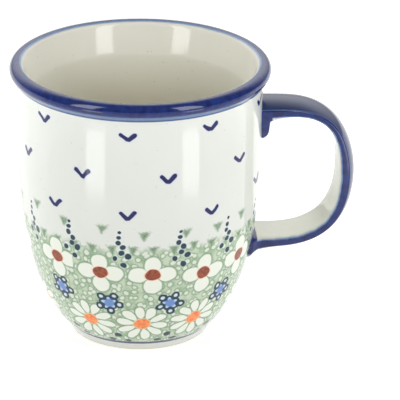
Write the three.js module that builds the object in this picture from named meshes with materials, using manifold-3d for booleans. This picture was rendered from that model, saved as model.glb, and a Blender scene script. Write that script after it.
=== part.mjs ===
// Stoneware mug: a jiggered body with a rolled lip and a foot ring, and a pressed strap handle that is
// luted to the wall with two collars of clay slip.
// Millimetres, +Z up. The mug stands on z = 0 with the handle along +X, and the origin is the middle of
// the footprint that body and handle have together.
import * as THREE from 'three';
import { mergeVertices } from 'three/addons/utils/BufferGeometryUtils.js';
import Module from 'manifold-3d';

const wasm = await Module();
wasm.setup();

// Driving dimensions of the body
const mugHeight = 98;
const bellyRadius = 42;
const lipOverhang = 3;
const lipThickness = 5.1;
const lipUnderside = 6.3;
const lipUndercut = 0.7;
const neckDepth = 18;
const throatDepth = 11.5;
const wallThickness = 4.6;
const floorThickness = 4.6;
const wellInset = 28;
const bellyTopDepth = 34;
const bellyTurn = 38;
const footTurnInset = 5.8;
const footTurn = 12;
const footRadius = 24.2;
const footFlare = 1;
const footHeight = 2.9;
const footRingWidth = 4.4;
const footRecess = 2.2;
const footChamfer = 0.4;

// Driving dimensions of the handle
const strapWidth = 16.8;
const innerCrown = 0.9;
const sideShare = 0.36;
const domeFullness = 0.75;
const innerSquareness = 2 / 3;
const upperRootThickness = 5.2;
const crownThickness = 4.2;
const widestThickness = 6;
const lowerBendThickness = 5.3;
const lowerRootThickness = 5.4;
const handleDrop = 19.9;
const handleOpening = 44.3;
const fingerRoom = 27;
const crownReach = 9.8;
const crownRise = 0.3;
const upperShoulder = 13;
const widestDrop = 21.5;
const upperFullness = 15;
const lowerFullness = 17;
const lowerShoulder = 7.9;
const lowerReach = 4.6;
const flareLength = 8;

// Driving dimensions of the luting collars: how deep they are, how far each spreads over the wall beyond
// the strap, at its sides, on the strap's outer face and on its inner face, how far the strap flares to
// meet it, and whether it spreads in a hollow curve (a power above 1) or a full one (a power below 1)
const collarDepth = 2.6;
const upperCollar = { side: 0.8, outer: 1, inner: 6, flareOuter: 0, flareInner: 2.2, power: 0.3 };
const lowerCollar = { side: 0.8, outer: 2.4, inner: 0.6, flareOuter: 1.4, flareInner: 0.3, power: 1.3 };

// Clearance between neighbouring pieces
const gap = 0.3;

const bodySegments = 64;
const bendSteps = 9;
const strapStations = 44;
const collarSteps = 5;

// Sizes that follow from the driving ones
const rimRadius = bellyRadius + lipOverhang;
const lipUndersideRadius = bellyRadius + lipUndercut;
const innerRadius = bellyRadius - wallThickness;
const bellyTop = mugHeight - bellyTopDepth;
const footTurnRadius = bellyRadius - footTurnInset;
const footTopRadius = footRadius + footFlare;
const wellRadius = bellyRadius - wellInset;

const vector = (x, y) => new THREE.Vector2(x, y);
const bezier = (...points) => new THREE.CubicBezierCurve(...points);

// The outside of the wall as (radius, height), from the foot ring's outer edge up to the lip's underside.
function outerWall() {
  const belly = bezier(
    vector(footTopRadius, footHeight),
    vector(footTurnRadius, footTurn),
    vector(bellyRadius, bellyTurn),
    vector(bellyRadius, bellyTop),
  );
  const lipStart = mugHeight - lipUnderside;
  const neckBend = (neckDepth - lipUnderside) / 2;
  const neck = bezier(
    vector(bellyRadius, mugHeight - neckDepth),
    vector(bellyRadius, lipStart - neckBend),
    vector((bellyRadius + lipUndersideRadius) / 2, lipStart - neckBend / 2),
    vector(lipUndersideRadius, lipStart),
  );
  return [
    vector(footRadius - footChamfer, 0),
    vector(footRadius, footChamfer),
    ...belly.getPoints(bendSteps + 2),
    ...neck.getPoints(4),
  ];
}

// The rolled lip, from its underside over the top to the throat of the mug.
function lip() {
  const radius = lipThickness / 2;
  const round = new THREE.EllipseCurve(
    rimRadius - radius, mugHeight - radius, radius, radius, -Math.PI / 3, Math.PI, false);
  return round.getPoints(bendSteps + 1);
}

// The inside, from below the lip down to the middle of the floor.
function innerWall() {
  const throatEnd = mugHeight - throatDepth;
  const floorHeight = footRecess + floorThickness;
  const well = bezier(
    vector(innerRadius, bellyTop),
    vector(innerRadius, bellyTurn - floorThickness / 2),
    vector(footTurnRadius - wallThickness, floorHeight),
    vector(wellRadius, floorHeight),
  );
  return [
    vector(innerRadius, throatEnd),
    ...well.getPoints(bendSteps + 1),
    vector(0, floorHeight),
  ];
}

// The underside, from the middle of the recess out to the standing face of the foot ring.
function underside() {
  const ringInside = footRadius - footRingWidth;
  return [
    vector(0, footRecess),
    vector(ringInside - footChamfer, footRecess),
    vector(ringInside, footRecess - footChamfer),
    vector(ringInside, footChamfer),
    vector(ringInside + footChamfer, 0),
  ];
}

function turned(profile) {
  const geometry = new THREE.LatheGeometry(profile, bodySegments);
  return geometry.rotateX(Math.PI / 2);
}

// The wall's outer radius at a height, read from the profile itself.
function wallRadius(height) {
  const profile = outerWall();
  const above = profile.findIndex((point) => point.y > height);
  const low = profile[above - 1];
  const high = profile[above];
  return THREE.MathUtils.mapLinear(height, low.y, high.y, low.x, high.x);
}

// Joins rings of points, each one round a convex section, into a closed body.
function loft(rings) {
  const count = rings[0].length;
  const last = (rings.length - 1) * count;
  const index = [];
  for (let start = 0; start < last; start += count) {
    for (let i = 0; i < count; i += 1) {
      const a = start + i;
      const b = start + ((i + 1) % count);
      index.push(a, b, b + count, a, b + count, a + count);
    }
  }
  for (let i = 1; i + 1 < count; i += 1) {
    index.push(0, i + 1, i);
    index.push(last, last + i, last + i + 1);
  }
  const geometry = new THREE.BufferGeometry().setFromPoints(rings.flat());
  geometry.setIndex(index);
  return geometry;
}

// The strap's section as (across, outwards): upright sides, a domed outer face that rises from them with a
// shoulder, and a nearly flat inner face with rounded edges.
function strapSection(halfWidth, outer, inner) {
  const points = [];
  const domeSteps = 12;
  const innerSteps = 8;
  points.push(vector(halfWidth, 0));
  for (let step = 0; step <= domeSteps; step += 1) {
    const across = Math.cos((Math.PI * step) / domeSteps);
    const dome = (1 - across ** 2) ** domeFullness;
    points.push(vector(halfWidth * across, outer * (sideShare + (1 - sideShare) * dome)));
  }
  for (let step = 0; step < innerSteps; step += 1) {
    const angle = (Math.PI * step) / innerSteps;
    const across = Math.sign(Math.cos(angle)) * Math.abs(Math.cos(angle)) ** innerSquareness;
    points.push(vector(-halfWidth * across, -inner * Math.sin(angle) ** innerSquareness));
  }
  return points;
}

// One ring of the handle or a collar. side, outer and inner say how far it stands beyond the plain strap.
function strapRing(centre, outwards, thickness, side, outer, inner) {
  const section = strapSection(
    strapWidth / 2 + side, thickness - innerCrown + outer, innerCrown + inner);
  return section.map((point) => new THREE.Vector3(
    centre.x + outwards.x * point.y,
    point.x,
    centre.y + outwards.y * point.y,
  ));
}

const openingTop = mugHeight - handleDrop;
const openingBottom = openingTop - handleOpening;
const upperRoot = {
  height: openingTop - crownRise + innerCrown, up: 1, thickness: upperRootThickness, spread: upperCollar,
};
const lowerRoot = {
  height: openingBottom - innerCrown, up: -1, thickness: lowerRootThickness, spread: lowerCollar,
};
upperRoot.face = wallRadius(upperRoot.height) + collarDepth;
lowerRoot.face = wallRadius(lowerRoot.height) + collarDepth;

// The middle line of the strap, from the upper root round the finger opening to the lower root.
function handleLine() {
  const widest = bellyRadius + fingerRoom + innerCrown;
  const crown = bellyRadius + crownReach;
  const top = openingTop + innerCrown;
  const bottom = openingBottom - innerCrown;
  const middle = openingTop - widestDrop;
  const start = upperRoot.face + gap;
  const rise = (crown - start) / 3;
  const line = new THREE.CurvePath();
  line.add(bezier(
    vector(start, upperRoot.height), vector(start + rise, upperRoot.height),
    vector(crown - rise, top), vector(crown, top)));
  line.add(bezier(
    vector(crown, top), vector(crown + upperShoulder, top),
    vector(widest, middle + upperFullness), vector(widest, middle)));
  line.add(bezier(
    vector(widest, middle), vector(widest, middle - lowerFullness),
    vector(widest - lowerShoulder, bottom), vector(bellyRadius + lowerReach, bottom)));
  line.add(new THREE.LineCurve(
    vector(bellyRadius + lowerReach, bottom), vector(lowerRoot.face + gap, bottom)));
  return line;
}

// The strap's thickness along its line, at even steps from the upper root to the lower one.
const strapThickness = new THREE.SplineCurve([
  upperRootThickness, crownThickness, widestThickness, lowerBendThickness, lowerRootThickness,
].map((thickness, step) => vector(step, thickness)));

// The pressed strap, which flares at both roots.
function strap() {
  const line = handleLine();
  const length = line.getLength();
  const rings = [];
  for (let station = 0; station <= strapStations; station += 1) {
    const t = station / strapStations;
    const along = line.getTangent(t);
    const upper = Math.max(0, 1 - (t * length) / flareLength) ** 2;
    const lower = Math.max(0, 1 - ((1 - t) * length) / flareLength) ** 2;
    const outer = upper * upperCollar.flareOuter + lower * lowerCollar.flareOuter;
    const inner = upper * upperCollar.flareInner + lower * lowerCollar.flareInner;
    const thickness = strapThickness.getPoint(t).y;
    rings.push(strapRing(line.getPoint(t), vector(-along.y, along.x), thickness, 0, outer, inner));
  }
  return loft(rings);
}

function toSolid(geometry) {
  const bare = geometry.clone();
  bare.deleteAttribute('normal');
  bare.deleteAttribute('uv');
  const merged = mergeVertices(bare, 1e-4);
  return new wasm.Manifold(new wasm.Mesh({
    numProp: 3,
    vertProperties: new Float32Array(merged.attributes.position.array),
    triVerts: new Uint32Array(merged.index.array),
  }));
}

function toGeometry(solid) {
  const mesh = solid.getMesh();
  const geometry = new THREE.BufferGeometry();
  geometry.setAttribute('position', new THREE.BufferAttribute(mesh.vertProperties, 3));
  geometry.setIndex(new THREE.BufferAttribute(mesh.triVerts, 1));
  return geometry;
}

// Everything inside the wall's outer face, with the clearance added, to cut the collars to the wall.
function wallCutter() {
  const profile = outerWall().map((point) => vector(point.x + gap, point.y));
  return toSolid(turned([vector(0, 0), ...profile, vector(0, mugHeight - lipUnderside)]));
}

// A collar of slip: it continues the strap's end and spreads over the wall.
function collar({ height, up, thickness, spread, face }) {
  const rings = [];
  const wall = face - collarDepth;
  for (let step = 0; step <= collarSteps; step += 1) {
    const t = step / collarSteps;
    const spreading = t ** spread.power;
    rings.push(strapRing(
      vector(face - t * collarDepth, height), vector(0, up), thickness, spreading * spread.side,
      spread.flareOuter + spreading * spread.outer, spread.flareInner + spreading * spread.inner));
  }
  const buried = rings[collarSteps].map((point) => point.clone().setX(wall / 2));
  rings.push(buried);
  if (up > 0) {
    rings.reverse();
  }
  return toGeometry(toSolid(loft(rings)).subtract(wallCutter()));
}

function piece(name, geometry, color, roughness) {
  const material = new THREE.MeshStandardMaterial({ color, roughness, metalness: 0 });
  const mesh = new THREE.Mesh(geometry, material);
  mesh.name = name;
  return mesh;
}

const mug = new THREE.Group();
mug.add(piece(
  'mug_body', turned([...underside(), ...outerWall(), ...lip(), ...innerWall()]), 0xe6ece4, 0.15));
mug.add(piece('handle', strap(), 0x2c3578, 0.15));
mug.add(piece('upper_luting_collar', collar(upperRoot), 0x242c6a, 0.18));
mug.add(piece('lower_luting_collar', collar(lowerRoot), 0x242c6a, 0.18));

const reach = new THREE.Box3().setFromObject(mug);
mug.position.x = -(reach.min.x + reach.max.x) / 2;

const part = new THREE.Group();
part.add(mug);

export default part;
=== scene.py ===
"""Stoneware mug: a jiggered body with a rolled cobalt lip, sponge-stamped flowers and birds under a clear
glaze, and a strap handle glazed cobalt outside and cream inside.

Sizes are in millimetres and turned into metres by MM. Angles round the body are in degrees from the side
opposite the handle.
"""
import math

import bpy
from mathutils import Matrix, Vector


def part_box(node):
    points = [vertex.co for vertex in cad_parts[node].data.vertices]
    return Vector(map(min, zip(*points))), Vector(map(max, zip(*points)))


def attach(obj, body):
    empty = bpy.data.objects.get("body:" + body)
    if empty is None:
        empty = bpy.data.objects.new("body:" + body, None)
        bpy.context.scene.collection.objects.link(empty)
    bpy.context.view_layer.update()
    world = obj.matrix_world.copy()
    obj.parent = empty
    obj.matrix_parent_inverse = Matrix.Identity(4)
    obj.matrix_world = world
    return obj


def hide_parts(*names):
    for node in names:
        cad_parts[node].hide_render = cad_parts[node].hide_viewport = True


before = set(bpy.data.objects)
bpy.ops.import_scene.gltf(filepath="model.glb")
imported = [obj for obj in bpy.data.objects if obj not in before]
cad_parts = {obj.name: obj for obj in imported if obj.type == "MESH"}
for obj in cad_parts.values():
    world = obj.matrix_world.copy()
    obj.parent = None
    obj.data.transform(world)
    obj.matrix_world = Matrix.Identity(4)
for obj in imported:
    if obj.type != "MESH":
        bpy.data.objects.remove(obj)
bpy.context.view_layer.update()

MM = 0.001

body_low, body_high = (Vector(corner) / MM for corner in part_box("mug_body"))
strap_low, strap_high = (Vector(corner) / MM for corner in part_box("handle"))
AXIS = (body_low.x + body_high.x) / 2
RIM_RADIUS = (body_high.y - body_low.y) / 2
MUG_HEIGHT = body_high.z

# The body's section
LIP_THICKNESS = 5.1
LIP_UNDERSIDE = 6.3
LIP_UNDERSIDE_RADIUS = 42.7
LIP_TURN = (-62, 172)
NECK_DEPTH = 18
BELLY_RADIUS = 42
BELLY_TOP = 64
BELLY_TURN = 38
WALL_THICKNESS = 4.6
THROAT_DEPTH = 11.5
FOOT_TURN_RADIUS = 36.2
FOOT_TURN = 12
FOOT_TOP_RADIUS = 25.2
FOOT_RADIUS = 24.2
FOOT_HEIGHT = 2.9
FOOT_RING_WIDTH = 4.4
FOOT_RECESS = 2.2
FOOT_CHAMFER = 0.4
FOOT_CREASE = (0.3, 0.4)
FLOOR_THICKNESS = 4.6
WELL_RADIUS = 14
FLOOR_CENTRE_RADIUS = 1.5

# How finely the body is turned. The rings lie on its straight stretches, where no bend gives it points:
# heights on the wall, and rises above the throat's lower end
BODY_SEGMENTS = 192
BELLY_STEPS = 30
NECK_STEPS = 8
LIP_STEPS = 20
WELL_STEPS = 26
OUTER_RINGS = (69, 74.5)
INNER_RING = 75
THROAT_RINGS = (6.5, 4.5, 2.6, 1.0, 0.4, -0.4, -2)

# The line of the handle: its crown is the end of the level run out from the wall, and a pull is how far a
# bend reaches along the line before it turns
HANDLE_DROP = 19.9
HANDLE_OPENING = 44.3
CROWN_REACH = 9.8
WIDEST_DROP = 21.5
UPPER_ROOT_SAG = 0.3
LOWER_ROOT_REACH = 4.6
LOWER_END_DEPTH = 5.4
END_PULL = 3
CROWN_PULL = 4
LOWER_ROOT_PULL = 2.6
UPPER_BEND_PULLS = (13, 15)
LOWER_BEND_PULLS = (17, 7.9)

# The strap of the handle
STRAP_WIDTH = strap_high.y - strap_low.y
STRAP_THICKNESS = (5.9, 4.2, 6.0, 5.3, 5.4)
INNER_CROWN = 0.9
INNER_SQUARENESS = 2 / 3
SIDE_SHARE = 0.48
SIDE_TURN = 0.25
DOME_FULLNESS = 0.9
INSERTION = 2.4
UPPER_ROOT = {
    "depth": 1.9, "power": 0.14, "side": 0.0, "outer": 0.0, "inner": 6.5,
    "flare_outer": 0.0, "flare_inner": 2.2}
LOWER_ROOT = {
    "depth": 2.6, "power": 1.4, "side": 1.8, "outer": 2.6, "inner": 0.6,
    "flare_outer": 1.4, "flare_inner": 0.3}
FLARE_LENGTH = 8
LOWER_WALL_SLOPE = 0.2
STRAP_SEGMENTS = 40
ROOT_STEP = 0.3
ROOT_STEPS = 27
FIRST_BEND_STEP = 0.8
BEND_STEPS = 64

# How far the cobalt runs out from the wall over a root before the cream begins
UPPER_COBALT_REACH = 2.9
LOWER_COBALT_REACH = 1.2

# The floor's place below the foot, and how much it glows
FLOOR_DROP = 0.05
FLOOR_GLOW = 1.05
FRONT_GLOW = (0.6, 0.6, 0.6, 1)
SIDE_GLOW = (1, 1, 1, 1)

# The lamps, as azimuth to the right of the view in degrees, breadth, bottom, top and radiance
LAMP_DISTANCE = 195
STREAK_LAMPS = (
    (-38.5, 56, 0, 46, 3.2), (44, 52, 0, 46, 3.2), (-45, 66, 108, 330, 4.9), (40, 66, 108, 330, 4.9))
FILL_DISTANCE = 400
FILL_LAMPS = ((-105, 300, 20, 320, 1.1), (90, 300, 20, 320, 1.4))

# The view
CAMERA_TURN = 5.2
CAMERA_DISTANCE = 1200
CAMERA_ELEVATION = 20.3186
CAMERA_YAW = 1.0646
CAMERA_PITCH = 22.4854
CAMERA_ROLL = 0.5811
CAMERA_LENS = 314.6
CAMERA_TARGET_HEIGHT = MUG_HEIGHT - LIP_THICKNESS / 2


def select_none():
    bpy.ops.object.select_all(action="DESELECT")


def bezier(points, steps):
    """Points along a cubic curve, its start left out."""
    a, b, c, d = (Vector(point) for point in points)
    curve = []
    for step in range(1, steps + 1):
        t = step / steps
        s = 1 - t
        curve.append(tuple(s**3 * a + 3 * s * s * t * b + 3 * s * t * t * c + t**3 * d))
    return curve


def arc(centre, radius, start, end, steps):
    """Points of a round stretch, both ends included, with its angles in degrees."""
    points = []
    for step in range(steps + 1):
        angle = math.radians(start + (end - start) * step / steps)
        points.append((centre[0] + radius * math.cos(angle), centre[1] + radius * math.sin(angle)))
    return points


def body_profile():
    """The body's section as (radius, height), from the middle of the underside round to the floor."""
    ring_inside = FOOT_RADIUS - FOOT_RING_WIDTH
    underside = [
        (ring_inside / 2, FOOT_RECESS),
        (ring_inside - FOOT_CHAMFER, FOOT_RECESS),
        (ring_inside - FOOT_CHAMFER / 3, FOOT_RECESS - FOOT_CHAMFER / 2),
        (ring_inside, FOOT_CHAMFER),
        (ring_inside + FOOT_CHAMFER, 0),
        (FOOT_RADIUS - FOOT_CHAMFER, 0),
        (FOOT_RADIUS - FOOT_CHAMFER / 3, FOOT_CHAMFER / 3),
        (FOOT_RADIUS, FOOT_CHAMFER),
        (FOOT_TOP_RADIUS - FOOT_CREASE[0], FOOT_HEIGHT - FOOT_CREASE[1]),
    ]
    belly = bezier([
        (FOOT_TOP_RADIUS, FOOT_HEIGHT), (FOOT_TURN_RADIUS, FOOT_TURN),
        (BELLY_RADIUS, BELLY_TURN), (BELLY_RADIUS, BELLY_TOP)], BELLY_STEPS)
    lip_start = MUG_HEIGHT - LIP_UNDERSIDE
    neck_bend = (NECK_DEPTH - LIP_UNDERSIDE) / 2
    neck = bezier([
        (BELLY_RADIUS, MUG_HEIGHT - NECK_DEPTH), (BELLY_RADIUS, lip_start - neck_bend),
        ((BELLY_RADIUS + LIP_UNDERSIDE_RADIUS) / 2, lip_start - neck_bend / 2),
        (LIP_UNDERSIDE_RADIUS, lip_start)], NECK_STEPS)
    round_radius = LIP_THICKNESS / 2
    lip = arc((RIM_RADIUS - round_radius, MUG_HEIGHT - round_radius), round_radius, *LIP_TURN, LIP_STEPS)
    inner_radius = BELLY_RADIUS - WALL_THICKNESS
    throat_end = MUG_HEIGHT - THROAT_DEPTH
    taper = (lip[-1][0] - inner_radius) / (lip[-1][1] - throat_end)
    throat = [(inner_radius + taper * max(0, rise), throat_end + rise) for rise in THROAT_RINGS]
    floor_height = FOOT_RECESS + FLOOR_THICKNESS
    well = bezier([
        (inner_radius, BELLY_TOP), (inner_radius, BELLY_TURN - FLOOR_THICKNESS / 2),
        (FOOT_TURN_RADIUS - WALL_THICKNESS, floor_height), (WELL_RADIUS, floor_height)], WELL_STEPS)
    return [
        *underside, (FOOT_TOP_RADIUS, FOOT_HEIGHT), *belly,
        *((BELLY_RADIUS, height) for height in OUTER_RINGS), (BELLY_RADIUS, MUG_HEIGHT - NECK_DEPTH),
        *neck, *lip, *throat, (inner_radius, INNER_RING), (inner_radius, BELLY_TOP), *well,
        (WELL_RADIUS / 2, floor_height), (FLOOR_CENTRE_RADIUS, floor_height)]


def turned_body(name):
    """Raises the body ring by ring from a disc, as a thrower lifts a wall."""
    profile = body_profile()
    radius, height = profile[0]
    bpy.ops.mesh.primitive_circle_add(
        vertices=BODY_SEGMENTS, radius=radius * MM, fill_type="TRIFAN", location=(AXIS * MM, 0, height * MM))
    body = bpy.context.object
    body.name = name
    bpy.ops.object.transform_apply(location=True, rotation=True, scale=True)
    middle = Vector((AXIS * MM, 0, height * MM))
    for vertex in body.data.vertices:
        vertex.select = (vertex.co - middle).length > radius * MM / 2
    for edge in body.data.edges:
        edge.select = all(body.data.vertices[i].select for i in edge.vertices)
    for face in body.data.polygons:
        face.select = False
    bpy.ops.object.mode_set(mode="EDIT")
    bpy.ops.mesh.select_mode(type="EDGE")
    for next_radius, next_height in profile[1:]:
        bpy.ops.mesh.extrude_region_move(
            TRANSFORM_OT_translate={"value": (0, 0, (next_height - height) * MM)})
        growth = next_radius / radius
        bpy.ops.transform.resize(
            value=(growth, growth, 1), center_override=(AXIS * MM, 0, next_height * MM))
        radius, height = next_radius, next_height
    bpy.ops.mesh.merge(type="CENTER")
    bpy.ops.mesh.select_all(action="SELECT")
    bpy.ops.mesh.remove_doubles(threshold=1e-6)
    bpy.ops.mesh.normals_make_consistent(inside=False)
    bpy.ops.object.mode_set(mode="OBJECT")
    bpy.ops.object.shade_smooth_by_angle(angle=math.radians(50))
    return body


def unevenness(piece, depth, size):
    """The slight unevenness of clay that a hand has finished, which leaves the foot flat."""
    above_foot = piece.vertex_groups.new(name="above_foot")
    above_foot.add([v.index for v in piece.data.vertices if v.co.z > 2 * FOOT_HEIGHT * MM], 1, "REPLACE")
    texture = bpy.data.textures.new(piece.name + "_unevenness", "CLOUDS")
    texture.noise_scale = size * MM
    texture.noise_depth = 0
    displace = piece.modifiers.new("unevenness", "DISPLACE")
    displace.texture = texture
    displace.texture_coords = "LOCAL"
    displace.strength = depth * MM
    displace.mid_level = 0.5
    displace.vertex_group = above_foot.name
    bpy.ops.object.modifier_apply(modifier=displace.name)


def unroll_uv(piece):
    """Unrolls the body for the export's textures: round the mug one way and along the section the other."""
    mesh = piece.data
    profile = [(0, FOOT_RECESS), *body_profile(), (0, FOOT_RECESS + FLOOR_THICKNESS)]
    run = [0.0]
    for start, end in zip(profile, profile[1:]):
        run.append(run[-1] + math.dist(start, end))

    def along(point):
        place = (math.hypot(point.x / MM - AXIS, point.y / MM), point.z / MM)
        nearest = min(range(len(profile)), key=lambda i: math.dist(profile[i], place))
        return run[nearest] / run[-1]

    runs = [along(vertex.co) for vertex in mesh.vertices]
    turns = [math.atan2(vertex.co.y, vertex.co.x - AXIS * MM) / math.tau for vertex in mesh.vertices]
    layer = mesh.uv_layers.new(name="OFBake")
    for face in mesh.polygons:
        centre = math.atan2(face.center.y, face.center.x - AXIS * MM) / math.tau % 1
        for loop in face.loop_indices:
            vertex = mesh.loops[loop].vertex_index
            on_axis = math.hypot(mesh.vertices[vertex].co.x - AXIS * MM, mesh.vertices[vertex].co.y) < 1e-5
            turn = centre if on_axis else turns[vertex]
            turn += round(centre - turn)
            layer.data[loop].uv = (turn, runs[vertex])


def handle_curve():
    """The strap's middle line, drawn flat: x runs out from the mug's axis and y is the height."""
    top = MUG_HEIGHT - HANDLE_DROP + INNER_CROWN
    bottom = MUG_HEIGHT - HANDLE_DROP - HANDLE_OPENING - INNER_CROWN
    widest = strap_high.x - AXIS - STRAP_THICKNESS[2] + INNER_CROWN
    middle = top - INNER_CROWN - WIDEST_DROP
    crown = BELLY_RADIUS + CROWN_REACH
    root = BELLY_RADIUS + LOWER_ROOT_REACH
    start = BELLY_RADIUS - WALL_THICKNESS / 2
    start_height = top - UPPER_ROOT_SAG
    end = BELLY_RADIUS - LOWER_END_DEPTH
    bend_out, bend_up = UPPER_BEND_PULLS
    bend_down, bend_in = LOWER_BEND_PULLS
    knots = [
        ((start, start_height), (start - END_PULL, start_height), (start + CROWN_PULL, start_height)),
        ((crown, top), (crown - CROWN_PULL, top), (crown + bend_out, top)),
        ((widest, middle), (widest, middle + bend_up), (widest, middle - bend_down)),
        ((root, bottom), (widest - bend_in, bottom), (root - LOWER_ROOT_PULL, bottom)),
        ((end, bottom), (end + END_PULL, bottom), (end - END_PULL, bottom)),
    ]
    bpy.ops.curve.primitive_bezier_curve_add(location=(0, 0, 0))
    curve = bpy.context.object
    curve.data.dimensions = "2D"
    curve.data.resolution_u = 40
    spline = curve.data.splines[0]
    spline.bezier_points.add(len(knots) - len(spline.bezier_points))
    for point, (knot, before, after) in zip(spline.bezier_points, knots):
        point.handle_left_type = point.handle_right_type = "FREE"
        point.co = Vector((*knot, 0)) * MM
        point.handle_left = Vector((*before, 0)) * MM
        point.handle_right = Vector((*after, 0)) * MM
    return curve, spline.calc_length() / MM


def thickness_at(share):
    """The strap's thickness at a share of its length, eased between its five given places."""
    place = share * (len(STRAP_THICKNESS) - 1)
    first = min(int(place), len(STRAP_THICKNESS) - 2)
    t = place - first
    ease = t * t * (3 - 2 * t)
    return STRAP_THICKNESS[first] * (1 - ease) + STRAP_THICKNESS[first + 1] * ease


def spread(root, from_wall):
    """How far a root stands beyond the strap at its sides, its outer face and its inner face."""
    collar = max(0, 1 - max(0, from_wall) / root["depth"]) ** root["power"]
    flare = max(0, 1 - max(0, from_wall - root["depth"]) / FLARE_LENGTH) ** 2
    return (
        collar * root["side"],
        flare * root["flare_outer"] + collar * root["outer"],
        flare * root["flare_inner"] + collar * root["inner"])


def section_point(angle, half_width, outer, inner):
    """A point of the strap's section as (outwards, across): upright sides that meet a domed outer face at a
    shoulder, and a nearly flat inner face."""
    if angle < -1e-4:
        across = math.copysign(abs(math.cos(angle)) ** INNER_SQUARENESS, math.cos(angle))
        return -inner * abs(math.sin(angle)) ** INNER_SQUARENESS, half_width * across
    turn = 1 - abs(angle - math.pi / 2) / (math.pi / 2)
    if turn < SIDE_TURN:
        return outer * SIDE_SHARE * max(0, turn) / SIDE_TURN, math.copysign(half_width, math.cos(angle))
    across = math.cos((turn - SIDE_TURN) / (1 - SIDE_TURN) * math.pi / 2)
    dome = (1 - across**2) ** DOME_FULLNESS
    return outer * (SIDE_SHARE + (1 - SIDE_SHARE) * dome), math.copysign(half_width * across, math.cos(angle))


def stations(length):
    """Places along the strap, close together at the roots."""
    fine = [ROOT_STEP * step for step in range(ROOT_STEPS + 1)]
    coarse_start = fine[-1] + FIRST_BEND_STEP
    run = length - 2 * coarse_start
    coarse = [coarse_start + run * step / BEND_STEPS for step in range(BEND_STEPS + 1)]
    return [*fine, *coarse, *(length - place for place in reversed(fine))]


def straight_strap(name, places):
    """A round bar along x, in steps between the places."""
    select_none()
    bpy.ops.mesh.primitive_circle_add(vertices=STRAP_SEGMENTS, radius=MM, rotation=(0, math.pi / 2, 0))
    strap = bpy.context.object
    strap.name = name
    bpy.ops.object.transform_apply(location=True, rotation=True, scale=True)
    bpy.ops.object.mode_set(mode="EDIT")
    bpy.ops.mesh.select_all(action="SELECT")
    for start, end in zip(places, places[1:]):
        bpy.ops.mesh.extrude_region_move(TRANSFORM_OT_translate={"value": ((end - start) * MM, 0, 0)})
    bpy.ops.object.mode_set(mode="OBJECT")
    return strap


def press_section(strap, length):
    """Gives the bar the strap's section, flared at both roots, and notes each point's place on the strap as
    its distance from the wall, across the strap and outwards."""
    layout = strap.data.attributes.new("strap_place", "FLOAT_VECTOR", "POINT")
    for vertex in strap.data.vertices:
        run = vertex.co.x / MM
        upper = spread(UPPER_ROOT, run - INSERTION)
        lower = spread(LOWER_ROOT, length - run - INSERTION)
        side, outer, inner = (a + b for a, b in zip(upper, lower))
        outwards, across = section_point(
            math.atan2(vertex.co.y, vertex.co.z), STRAP_WIDTH / 2 + side,
            thickness_at(run / length) - INNER_CROWN + outer, INNER_CROWN + inner)
        near_wall = max(0, 1 - (length - run) / (FLARE_LENGTH + INSERTION)) ** 0.5
        from_wall = min(run, length - run) - INSERTION
        layout.data[vertex.index].vector = (from_wall, across, outwards)
        vertex.co = Vector((run + LOWER_WALL_SLOPE * outwards * near_wall, outwards, across)) * MM


def close_ends():
    """Faces over the bar's two open ends."""
    bpy.ops.object.mode_set(mode="EDIT")
    bpy.ops.mesh.select_all(action="DESELECT")
    bpy.ops.mesh.select_mode(type="EDGE")
    bpy.ops.mesh.select_non_manifold()
    bpy.ops.mesh.edge_face_add()
    bpy.ops.mesh.select_all(action="SELECT")
    bpy.ops.mesh.normals_make_consistent(inside=False)
    bpy.ops.object.mode_set(mode="OBJECT")


def strap_handle(name):
    """A strap pulled straight, pressed to its section, then bent along the handle's line."""
    curve, length = handle_curve()
    strap = straight_strap(name, stations(length))
    press_section(strap, length)
    close_ends()
    bend = strap.modifiers.new("bend", "CURVE")
    bend.object = curve
    bend.deform_axis = "POS_X"
    bpy.ops.object.modifier_apply(modifier=bend.name)
    strap.rotation_euler.x = math.pi / 2
    strap.location.x = AXIS * MM
    bpy.ops.object.transform_apply(location=True, rotation=True, scale=True)
    finer = strap.modifiers.new("finer", "SUBSURF")
    finer.levels = finer.render_levels = 1
    bpy.ops.object.modifier_apply(modifier=finer.name)
    bpy.ops.object.shade_smooth()
    bpy.data.objects.remove(curve)
    return strap


# Everything that a material needs from nodes


class Link:
    """The outlet of a node. Arithmetic on it adds Math nodes."""

    def __init__(self, glaze, socket):
        self.glaze = glaze
        self.socket = socket

    def __add__(self, other):
        return self.glaze.math("ADD", self, other)

    __radd__ = __add__

    def __sub__(self, other):
        return self.glaze.math("SUBTRACT", self, other)

    def __rsub__(self, other):
        return self.glaze.math("SUBTRACT", other, self)

    def __mul__(self, other):
        return self.glaze.math("MULTIPLY", self, other)

    __rmul__ = __mul__

    def __truediv__(self, other):
        return self.glaze.math("DIVIDE", self, other)

    def __abs__(self):
        return self.glaze.math("ABSOLUTE", self)

    def below(self, edge, softness):
        """1 where the value is below the edge and 0 above it, blurred over the softness."""
        return self.glaze.node(
            "ShaderNodeMapRange", {"interpolation_type": "SMOOTHSTEP"},
            {0: self, 1: edge + softness / 2, 2: edge - softness / 2})

    def above(self, edge, softness):
        return self.below(edge, -softness)


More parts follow.
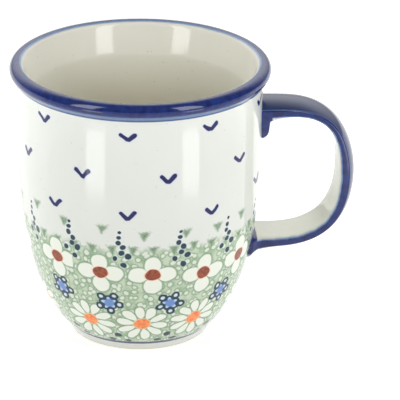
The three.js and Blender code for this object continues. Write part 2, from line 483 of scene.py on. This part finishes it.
class Glaze:
    """The nodes of a material, or of the light all round."""

    def __init__(self, block):
        block.use_nodes = True
        self.block = block
        self.tree = block.node_tree
        self.tree.nodes.clear()

    def node(self, kind, settings, inputs, outlet=0):
        node = self.tree.nodes.new(kind)
        for key, value in settings.items():
            setattr(node, key, value)
        for key, value in inputs.items():
            if isinstance(value, Link):
                self.tree.links.new(value.socket, node.inputs[key])
            else:
                node.inputs[key].default_value = value
        return Link(self, node.outputs[outlet] if len(node.outputs) else None)

    def math(self, operation, *values):
        return self.node("ShaderNodeMath", {"operation": operation}, dict(enumerate(values)))

    def least(self, *values):
        smallest = values[0]
        for value in values[1:]:
            smallest = self.math("MINIMUM", smallest, value)
        return smallest

    def vector(self, x, y, z=0):
        return self.node("ShaderNodeCombineXYZ", {}, {0: x, 1: y, 2: z})

    def parts(self, vector):
        split = self.node("ShaderNodeSeparateXYZ", {}, {0: vector})
        return [Link(self, outlet) for outlet in split.socket.node.outputs]

    def distance(self, place, x, y):
        return self.node("ShaderNodeVectorMath", {"operation": "DISTANCE"}, {0: place, 1: (x, y, 0)}, "Value")

    def length(self, x, y):
        return self.node("ShaderNodeVectorMath", {"operation": "LENGTH"}, {0: self.vector(x, y)}, "Value")

    def mix(self, share, ground, colour):
        return self.node("ShaderNodeMix", {"data_type": "RGBA"}, {0: share, 6: ground, 7: colour}, 2)

    def noise(self, place, scale, detail=2, outlet="Fac"):
        return self.node(
            "ShaderNodeTexNoise", {}, {"Vector": place, "Scale": scale, "Detail": detail}, outlet)

    def bump(self, height, strength, depth):
        return self.node(
            "ShaderNodeBump", {}, {"Height": height, "Strength": strength, "Distance": depth * MM}, "Normal")

    def finish(self, colour, roughness, normal, **constants):
        shader = self.node(
            "ShaderNodeBsdfPrincipled", {},
            {"Base Color": colour, "Roughness": roughness, "Normal": normal, **constants}, "BSDF")
        self.node("ShaderNodeOutputMaterial", {}, {"Surface": shader})
        return self.block


def paint(red, green, blue):
    """A colour from 0 to 255 a channel, as a colour chart gives it, made linear."""
    channels = [channel / 255 for channel in (red, green, blue)]
    return (*(c / 12.92 if c < 0.04 else ((c + 0.055) / 1.055) ** 2.4 for c in channels), 1)


CREAM = paint(222, 225, 220)
CREAM_DEEP = paint(215, 218, 209)
INNER_CREAM = paint(246, 245, 234)
INNER_CREAM_DEEP = paint(242, 240, 226)
WORN_CREAM = paint(220, 217, 194)
# Painted shade deep inside the cup
DEEP_SHADE_CREAM = paint(206, 201, 178)
COBALT = paint(28, 50, 116)
COBALT_DEEP = paint(22, 30, 84)
# Pale cobalt: thin paint at the edges of the cobalt, and also a painted reflection under the lip and a
# painted highlight on the handle's shoulders
COBALT_THIN_AND_SHEEN = paint(120, 152, 196)
# Painted sheen on the handle's outer face
SHEEN_SLATE = paint(44, 56, 96)
STAMP_BLUE = paint(8, 16, 84)
TEAL = paint(20, 52, 72)
MOSS = paint(150, 176, 142)
MOSS_PALE = paint(192, 207, 182)
MOSS_LINE = paint(128, 156, 124)
LEAF = paint(122, 154, 118)
LEAF_DEEP = paint(84, 120, 84)
PETAL = paint(231, 235, 223)
RUSSET = paint(158, 74, 40)
RUSSET_DEEP = paint(118, 50, 28)
ORANGE = paint(250, 152, 84)
ORANGE_DEEP = paint(236, 112, 60)
STAR_BLUE = paint(104, 138, 198)
SKY = paint(214, 228, 236)
CLAY = paint(206, 190, 160)
BIRD_HALO = paint(190, 196, 236)
RING_WHITE = paint(214, 222, 206)
RUSSET_HALO = paint(245, 190, 160)
ORANGE_HALO = paint(255, 214, 170)
BEAD_BLUE = paint(204, 220, 226)
LOBE_BLUE = paint(178, 204, 230)
SEED_BLUE = paint(36, 58, 66)
IRON_SPECK = paint(150, 140, 120)
SHEET_GREY = paint(204, 204, 202)
SHEET_PALE = paint(210, 210, 209)


# How far a stamp's outline strays on the wall, from one side to the other
STRAY = 1.4


class Wall:
    """A point of the body: its angle in degrees, its radius and its height in mm. sway and lift are how far
    a stamp strays there, and ink is how thick its colour is."""

    def __init__(self, glaze):
        place = glaze.node("ShaderNodeTexCoord", {}, {}, "Object")
        self.place = glaze.node("ShaderNodeMapping", {}, {
            "Vector": place, "Location": (AXIS, 0, 0), "Rotation": (0, 0, math.pi), "Scale": (1 / MM,) * 3})
        x, y, self.height = glaze.parts(self.place)
        self.angle = glaze.math("ARCTAN2", y, x) * math.degrees(1)
        self.radius = glaze.length(x, y)
        wobble = glaze.noise(self.place, 0.22, 1, "Color")
        self.sway, self.lift, self.ink = glaze.parts(wobble)
        self.sway = (self.sway - 0.5) * STRAY
        self.lift = (self.lift - 0.5) * STRAY


def stamps(glaze, wall, count, first, height, moves, steepness=1):
    """A row of one stamp round the mug. Gives the place in the nearest stamp's own frame, in mm along the
    wall. moves shifts single stamps, by their number from the first, sideways in degrees and up in mm."""
    step = 360 / count
    turn = (wall.angle - first) / step
    number = glaze.math("ROUND", turn)
    sideways = turn - number
    up = wall.height - height
    for index, (shift, lift) in moves.items():
        here = glaze.math("COMPARE", number, index, 0.5)
        sideways = sideways - here * (shift / step)
        if lift:
            up = up - here * lift
    across = sideways * math.radians(step) * wall.radius + wall.sway
    return across, up * steepness + wall.lift


def stroke(glaze, place, start, end):
    """The distance to a straight brush stroke between two points."""
    ax, ay = start
    bx, by = end
    run = (bx - ax, by - ay, 0)
    square = run[0] ** 2 + run[1] ** 2
    offset = glaze.node("ShaderNodeVectorMath", {"operation": "SUBTRACT"}, {0: place, 1: (ax, ay, 0)})
    dot = glaze.node("ShaderNodeVectorMath", {"operation": "DOT_PRODUCT"}, {0: offset, 1: run}, "Value")
    share = glaze.node("ShaderNodeMapRange", {}, {0: dot, 1: 0, 2: square})
    along = glaze.node("ShaderNodeVectorMath", {"operation": "SCALE"}, {0: run, "Scale": share})
    return glaze.node("ShaderNodeVectorMath", {"operation": "DISTANCE"}, {0: offset, 1: along}, "Value")


def birds(glaze, wall, ground):
    """Three rows of nine small birds in flight, the middle row set between the others."""
    rows = (
        (78.3, 87.0, {-1: (-3.5, 0.2), 0: (0.8, -1.0), 1: (0.5, 0.1), 2: (0.5, 0.6), 3: (0.5, 0)}),
        (98.3, 71.0, {-2: (1.5, 0.6), -1: (-1.0, 0.2), 0: (-0.6, -0.4), 1: (0, 0.9)}),
        (79.2, 57.6, {-1: (2.2, 0.4), 1: (1.1, -1.1), 2: (-2, 2.0)}),
    )
    for first, height, moves in rows:
        across, up = stamps(glaze, wall, 9, first, height, moves)
        place = glaze.vector(across, up)
        left = stroke(glaze, place, (-2.4, 0.9), (-0.5, -0.8))
        right = stroke(glaze, place, (0.4, -0.9), (2.4, 1.1)) - across * 0.03
        foot = stroke(glaze, place, (-0.5, -0.8), (0.4, -0.9))
        nearest = glaze.least(left, right, foot)
        ground = glaze.mix(nearest.below(1.1, 1.1) * 0.35, ground, BIRD_HALO)
        ground = glaze.mix((nearest - wall.ink * 0.26).below(0.58, 0.28), ground, STAMP_BLUE)
    return ground


def moss(glaze, wall, ground):
    """A field of pale green with small white rings, ragged at its top."""
    ragged = glaze.noise(wall.place, 0.22, 2)
    depth = wall.height + (ragged - 0.5) * 6
    field = depth.below(44.2, 3.4) * wall.height.above(3.1, 0.5)
    patch = glaze.noise(wall.place, 0.3, 3)
    green = glaze.mix(patch.above(0.52, 0.3), MOSS_PALE, MOSS)
    cells = glaze.vector(wall.angle * math.radians(36) + wall.sway, wall.height + wall.lift)
    ring = glaze.node(
        "ShaderNodeTexVoronoi", {"voronoi_dimensions": "2D"},
        {"Vector": cells, "Scale": 0.37, "Randomness": 0.75}, "Distance")
    past_edge = ring - (patch * 0.5 + 0.06)
    green = glaze.mix(past_edge.below(0.12, 0.2) * 0.9, green, MOSS_LINE)
    green = glaze.mix(past_edge.below(-0.03, 0.16), green, RING_WHITE)
    return glaze.mix(field, ground, green)


def tufts(glaze, wall, ground):
    """Two rows of sponged leaf tufts, wide and serrated at the top."""
    fuzz = glaze.noise(wall.place, 1.6, 2)
    high_moves = {-3: (0.5, 2.3), 0: (0, -2.0), 1: (0.3, -1.8), 2: (-2.5, -2.4), 3: (-5, -1.4)}
    low_moves = {2: (0, 0.6), 4: (-0.5, -1.0), 5: (-0.5, -1.0)}
    for count, first, height, size, moves in (
            (18, 86.8, 51.8, 1.0, high_moves), (36, 91.5, 44.3, 0.92, low_moves)):
        across, up = stamps(glaze, wall, count, first, height, moves)
        narrow = abs(across) * (1.0 / size) - up * 0.55 + (fuzz - 0.5) * 1.7
        top = up + (fuzz - 0.5) * 2.4
        tuft = narrow.below(1.25, 1.3) * top.below(1.6 * size, 1.2) * up.above(-1.9, 0.8)
        core = narrow.below(0.6, 1.2) * up.below(1.2, 1.6)
        ground = glaze.mix(tuft * (fuzz * 0.9 + 0.4), ground, glaze.mix(core, LEAF, LEAF_DEEP))
    return ground


def lupines(glaze, wall, ground):
    """Thirteen spires of eight dots each, small at the tip."""
    moves = {-1: (2.0, 1.2), 1: (1.4, -0.3), 2: (0.4, 0.4), -2: (2.0, 2.0)}
    across, up = stamps(glaze, wall, 13, 75.4, 44.9, moves)
    place = glaze.vector(across, up)
    dots = (
        (-0.1, 6.4, 0.62), (-0.3, 4.2, 0.85), (-0.6, 2.1, 0.92), (1.0, 0.5, 0.98),
        (0.4, -1.6, 0.98), (2.7, -2.9, 1.15), (-1.9, -3.8, 1.0), (1.2, -6.3, 1.05))
    spire = glaze.least(*(glaze.distance(place, x, y) - size for x, y, size in dots))
    ground = glaze.mix(spire.below(0.35, 0.7) * 0.35, ground, SKY)
    return glaze.mix(spire.below(0, 0.3), ground, TEAL)


def clover_flowers(glaze, wall, ground):
    """Thirteen white flowers of four broad petals, outlined in green, with russet centres."""
    moves = {-3: (-7, 1), -2: (3.9, 2.4), -1: (1.2, 0.2), 1: (-0.2, -1.8), 2: (-2.4, -0.3)}
    across, up = stamps(glaze, wall, 13, 91.3, 34.8, moves)
    sides = glaze.length((abs(across) - 4.75) / 3.5, up / 2.85)
    ends = glaze.length(across / 3.0, (abs(up + 0.3) - 4.3) / 3.1)
    petals = glaze.least(sides, ends)
    ground = glaze.mix(petals.below(1.18, 0.3), ground, MOSS_LINE)
    ground = glaze.mix(petals.below(1.0, 0.18), ground, PETAL)
    centre = glaze.length(across / 2.6, up / 2.25)
    ground = glaze.mix(centre.below(1.14, 0.2) * 0.7, ground, RUSSET_HALO)
    russet = glaze.mix(glaze.noise(wall.place, 1.1, 3).above(0.52, 0.3), RUSSET, RUSSET_DEEP)
    return glaze.mix(centre.below(1.0, 0.14), ground, russet)


def daisies(glaze, wall, ground):
    """Eleven daisies with narrow petals and orange centres."""
    moves = {-2: (-9, 1), -1: (0.7, 0), 1: (-0.2, 0.2), 2: (9, 1)}
    across, up = stamps(glaze, wall, 11, 86.3, 13.8, moves, 1.14)
    reach = glaze.length(across, up)
    petals = 10
    bearing = glaze.math("ARCTAN2", up, across) * (petals / math.tau) + 0.25
    beside = abs(glaze.math("WRAP", bearing, 0.5, -0.5)) * (math.tau / petals) * reach
    petal = glaze.length((reach - 5.9) / 3.0, beside / (0.6 + reach * 0.155))
    ground = glaze.mix(petal.below(1.26, 0.3) * reach.below(9.4, 0.4), ground, MOSS_LINE)
    ground = glaze.mix(petal.below(1.0, 0.2), ground, PETAL)
    centre = glaze.length(across / 2.75, up / 2.6)
    ground = glaze.mix(centre.below(1.15, 0.2) * 0.6, ground, ORANGE_HALO)
    orange = glaze.mix(glaze.noise(wall.place, 0.9, 3).above(0.52, 0.3), ORANGE, ORANGE_DEEP)
    return glaze.mix(centre.below(1.0, 0.15), ground, orange)


def stars(glaze, wall, ground):
    """Eleven blue stars, each in a ring of five small circles drawn in dark teal."""
    moves = {-2: (3.5, 2.4), -1: (-0.2, 0), 0: (0.4, 0), 1: (0.6, 0.1)}
    across, up = stamps(glaze, wall, 11, 101.0, 22.6, moves, 1.06)
    reach = glaze.length(across, up)
    bearing = glaze.math("ARCTAN2", up, across) * (5 / math.tau)
    turn = glaze.math("WRAP", bearing + 0.14, 0.5, -0.5) * (math.tau / 5)
    bead = glaze.length(glaze.math("COSINE", turn) * reach - 3.75, glaze.math("SINE", turn) * reach)
    off_lobe = abs(turn) - math.pi / 5
    lobe = glaze.length(
        (glaze.math("COSINE", off_lobe) * reach - 1.6) / 1.1, glaze.math("SINE", off_lobe) * reach / 0.64)
    ground = glaze.mix(glaze.least(bead - 1.6, reach - 3.5).below(0, 0.4), ground, TEAL)
    ground = glaze.mix(bead.below(0.68, 0.34), ground, BEAD_BLUE)
    ground = glaze.mix(lobe.below(1, 0.25), ground, LOBE_BLUE)
    return glaze.mix(reach.below(1.75, 0.9), ground, STAR_BLUE)


def seeds(glaze, wall, ground):
    """Eleven groups of three dark seeds near the foot."""
    across, up = stamps(glaze, wall, 11, 103.5, 6.1, {-1: (0.2, -0.4)}, 1.3)
    upper = glaze.length((across + 0.2) / 1.35, (up - 2.4) / 1.35)
    lower = glaze.length((abs(across) - 2.7) / 1.3, (up + 1.1) / 1.05)
    return glaze.mix(glaze.least(upper, lower).below(1, 0.35), ground, SEED_BLUE)


def fired_cream(glaze, wall, thin, deep):
    """Cream glaze, a little warmer in places, with a few fine iron specks."""
    cloud = glaze.noise(wall.place, 0.06, 3)
    cream = glaze.mix(cloud, thin, deep)
    speck = glaze.node("ShaderNodeTexVoronoi", {}, {"Vector": wall.place, "Scale": 0.24}, "Distance")
    return glaze.mix(speck.below(0.07, 0.05) * 0.22, cream, IRON_SPECK)


def cobalt_lip(glaze, wall, ground):
    """The painted lip: cobalt from the crease below it to just inside its crest, thin at its inner edge, with
    a painted reflection of the floor as a pale band on its underside.
    """
    streak = glaze.noise(wall.place, 0.5, 3)
    cobalt = glaze.mix(streak.above(0.5, 0.5), COBALT, COBALT_DEEP)
    crest = RIM_RADIUS - LIP_THICKNESS / 2
    lip = wall.height.above(MUG_HEIGHT - LIP_UNDERSIDE + 0.1, 0.5)
    inward = wall.radius + wall.sway * 0.15
    # Painted reflection: a pale band along the lip's underside stands for the bright floor mirrored in the
    # glaze
    under = abs(wall.height - (MUG_HEIGHT - LIP_THICKNESS + 0.1))
    cobalt = glaze.mix(under.below(0.75, 1.1) * 0.55, cobalt, COBALT_THIN_AND_SHEEN)
    ground = glaze.mix(lip * inward.above(crest - 1.5, 0.8), ground, COBALT_THIN_AND_SHEEN)
    return glaze.mix(lip * inward.above(crest - 0.8, 0.8), ground, cobalt)


def glazed_finish(glaze, wall, colour):
    """A glossy, faintly rippled glaze that stops short of the standing ring, where the clay is bare."""
    bare = wall.height.below(0.35, 0.2)
    colour = glaze.mix(bare, colour, CLAY)
    normal = glaze.bump(glaze.noise(wall.place, 0.12, 2), 0.12, 0.5)
    return glaze.finish(colour, 0.09 + bare * 0.5, normal, IOR=1.5)


def stamped_glaze():
    glaze = Glaze(bpy.data.materials.new("stamped_stoneware_glaze"))
    wall = Wall(glaze)
    colour = fired_cream(glaze, wall, CREAM, CREAM_DEEP)
    for layer in (moss, tufts, lupines, clover_flowers, daisies, stars, seeds, birds):
        colour = layer(glaze, wall, colour)
    line = abs(wall.height - FOOT_HEIGHT - 0.45 + wall.lift * 0.1)
    colour = glaze.mix(line.below(0.7, 0.15), colour, COBALT_DEEP)
    return glazed_finish(glaze, wall, cobalt_lip(glaze, wall, colour))


def inner_glaze():
    glaze = Glaze(bpy.data.materials.new("inner_cream_glaze"))
    wall = Wall(glaze)
    cream = fired_cream(glaze, wall, INNER_CREAM, INNER_CREAM_DEEP)
    # Painted shade: the inside's cream darkens towards the bottom of the cup
    cream = glaze.mix(wall.height.below(MUG_HEIGHT * 0.72, MUG_HEIGHT * 0.35), cream, DEEP_SHADE_CREAM)
    return glazed_finish(glaze, wall, cobalt_lip(glaze, wall, cream))


def cobalt_glaze():
    glaze = Glaze(bpy.data.materials.new("cobalt_handle_glaze"))
    place = glaze.node("ShaderNodeAttribute", {"attribute_name": "strap_place"}, {}, "Vector")
    from_wall, across, rise = glaze.parts(place)
    streak = glaze.noise(place, 0.35, 3)
    cobalt = glaze.mix(streak.above(0.5, 0.5), COBALT, COBALT_DEEP)
    # Painted sheen: the domed outer face of the strap is greyed towards slate, as if mirroring the bright
    # surroundings, while the upright sides stay cobalt
    cobalt = glaze.mix((STRAP_WIDTH / 2 - abs(across)).above(0.5, 0.8) * rise.above(1.0, 0.5), cobalt, SHEEN_SLATE)
    # Painted highlight: a pale line along each shoulder where the strap's sides turn into its domed outer
    # face
    shoulder = abs(abs(across) - (STRAP_WIDTH / 2 - 0.35)).below(0.12, 0.3) * rise.above(1.0, 0.5)
    cobalt = glaze.mix(shoulder * (streak * 0.8 + 0.1), cobalt, COBALT_THIN_AND_SHEEN)
    edge = rise + (streak - 0.5) * 0.4
    cream = glaze.mix(streak, CREAM, WORN_CREAM)
    colour = glaze.mix(edge.above(-0.45, 0.5), cream, COBALT_THIN_AND_SHEEN)
    colour = glaze.mix(edge.above(-0.1, 0.4), colour, cobalt)
    height = glaze.parts(glaze.node("ShaderNodeTexCoord", {}, {}, "Object"))[2]
    upper_half = height.above(MUG_HEIGHT / 2 * MM, MM)
    reach = upper_half * (UPPER_COBALT_REACH - LOWER_COBALT_REACH) + LOWER_COBALT_REACH
    colour = glaze.mix((from_wall - reach).below(0, 0.6), colour, cobalt)
    normal = glaze.bump(glaze.noise(place, 0.12, 2), 0.12, 0.5)
    return glaze.finish(colour, 0.09, normal, IOR=1.5)


def line_inside(body):
    """The stamped glaze outside, and plain cream on every face that looks at the mug's axis or up."""
    body.data.materials.append(stamped_glaze())
    body.data.materials.append(inner_glaze())
    for face in body.data.polygons:
        out = Vector((face.center.x - AXIS * MM, face.center.y, 0))
        facing_axis = face.normal.dot(out) < 0 and face.center.z > 2 * FOOT_RECESS * MM
        on_floor = face.normal.z > 0.5 and out.length < (BELLY_RADIUS - WALL_THICKNESS) * MM
        face.material_index = 1 if facing_axis or on_floor else 0


def cover(piece, slot, *nodes):
    """Hands a piece over: it rides on the body of the part, in place of the nodes."""
    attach(piece, "root")
    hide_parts(*nodes)


def sheet_floor():
    """A pale sheet that glows, more so beside and behind the mug."""
    select_none()
    bpy.ops.mesh.primitive_plane_add(size=8, location=(0, 0, -FLOOR_DROP * MM))
    bpy.ops.object.transform_apply(location=True, rotation=True, scale=True)
    floor = bpy.context.object
    floor.name = "floor"
    sheet = Glaze(bpy.data.materials.new("floor_sheet"))
    place = sheet.node("ShaderNodeTexCoord", {}, {}, "Object")
    grain = sheet.noise(place, 3, 4)
    shade = sheet.mix(grain, SHEET_GREY, SHEET_PALE)
    x, y, _ = sheet.parts(place)
    beside = abs(x - AXIS * MM).above(85 * MM, 50 * MM) * y.above(20 * MM, 60 * MM)
    glow = sheet.mix(beside, FRONT_GLOW, SIDE_GLOW)
    floor.data.materials.append(sheet.finish(
        shade, 0.6, sheet.bump(grain, 0.05, 1), **{"Emission Color": glow, "Emission Strength": FLOOR_GLOW}))


def surround():
    """Light from all round, brighter behind the mug and higher up."""
    world = bpy.data.worlds.new("surround")
    bpy.context.scene.world = world
    light = Glaze(world)
    _, back, up = light.parts(light.node("ShaderNodeTexCoord", {}, {}, "Generated"))
    behind = light.node(
        "ShaderNodeMapRange", {"interpolation_type": "SMOOTHSTEP"}, {0: back, 1: 0.2, 2: 1.0, 3: 0.3, 4: 3.0})
    overhead = light.node("ShaderNodeMapRange", {}, {0: up, 1: 0.1, 2: 0.6, 3: 0.3, 4: 1.0})
    background = light.node("ShaderNodeBackground", {}, {"Strength": behind * overhead})
    light.node("ShaderNodeOutputWorld", {}, {"Surface": background})


def lamp(distance, azimuth, breadth, bottom, top, radiance):
    """A lamp that stands at a distance from the mug, turned towards it."""
    heading = math.radians(azimuth - CAMERA_TURN)
    distance, width, height = distance * MM, breadth * MM, (top - bottom) * MM
    light = bpy.data.lights.new("strip_lamp", "AREA")
    light.shape = "RECTANGLE"
    light.size, light.size_y = width, height
    light.energy = radiance * math.pi * width * height
    stand = bpy.data.objects.new("strip_lamp", light)
    bpy.context.scene.collection.objects.link(stand)
    stand.location = (
        AXIS * MM + distance * math.sin(heading), -distance * math.cos(heading), (bottom + top) / 2 * MM)
    stand.rotation_euler = (math.pi / 2, 0, heading)
    stand.visible_camera = False
    return stand


def studio():
    """The floor, the light all round, narrow lamps in front that leave streaks on the wall and inside the
    throat, and a wide lamp at each side that no glaze reflects."""
    bpy.context.scene.view_settings.view_transform = "Standard"
    sheet_floor()
    surround()
    for values in STREAK_LAMPS:
        lamp(LAMP_DISTANCE, *values)
    for values in FILL_LAMPS:
        fill = lamp(FILL_DISTANCE, *values)
        fill.visible_glossy = False


def camera():
    """A long lens above the mug, turned a little from straight in front of it."""
    turn = Matrix.Rotation(math.radians(-CAMERA_TURN), 4, "Z")
    elevation = math.radians(CAMERA_ELEVATION)
    place = turn @ Vector((0, -math.cos(elevation), math.sin(elevation))) * CAMERA_DISTANCE
    place += Vector((AXIS, 0, CAMERA_TARGET_HEIGHT))
    data = bpy.data.cameras.new("camera")
    data.sensor_width = 36
    data.lens = CAMERA_LENS
    data.clip_end = 20
    view = bpy.data.objects.new("camera", data)
    bpy.context.scene.collection.objects.link(view)
    view.matrix_world = (
        Matrix.Translation(place * MM) @ turn @ Matrix.Rotation(math.radians(-CAMERA_YAW), 4, "Z")
        @ Matrix.Rotation(math.radians(90 - CAMERA_PITCH), 4, "X")
        @ Matrix.Rotation(math.radians(CAMERA_ROLL), 4, "Z"))
    bpy.context.scene.camera = view


camera()
studio()
select_none()
mug = turned_body("stamped_body")
unevenness(mug, depth=0.12, size=30)
unroll_uv(mug)
line_inside(mug)
cover(mug, "stamped_glaze", "mug_body")
select_none()
strap = strap_handle("glazed_handle")
strap.data.materials.append(cobalt_glaze())
cover(strap, "cobalt_glaze", "handle", "upper_luting_collar", "lower_luting_collar")
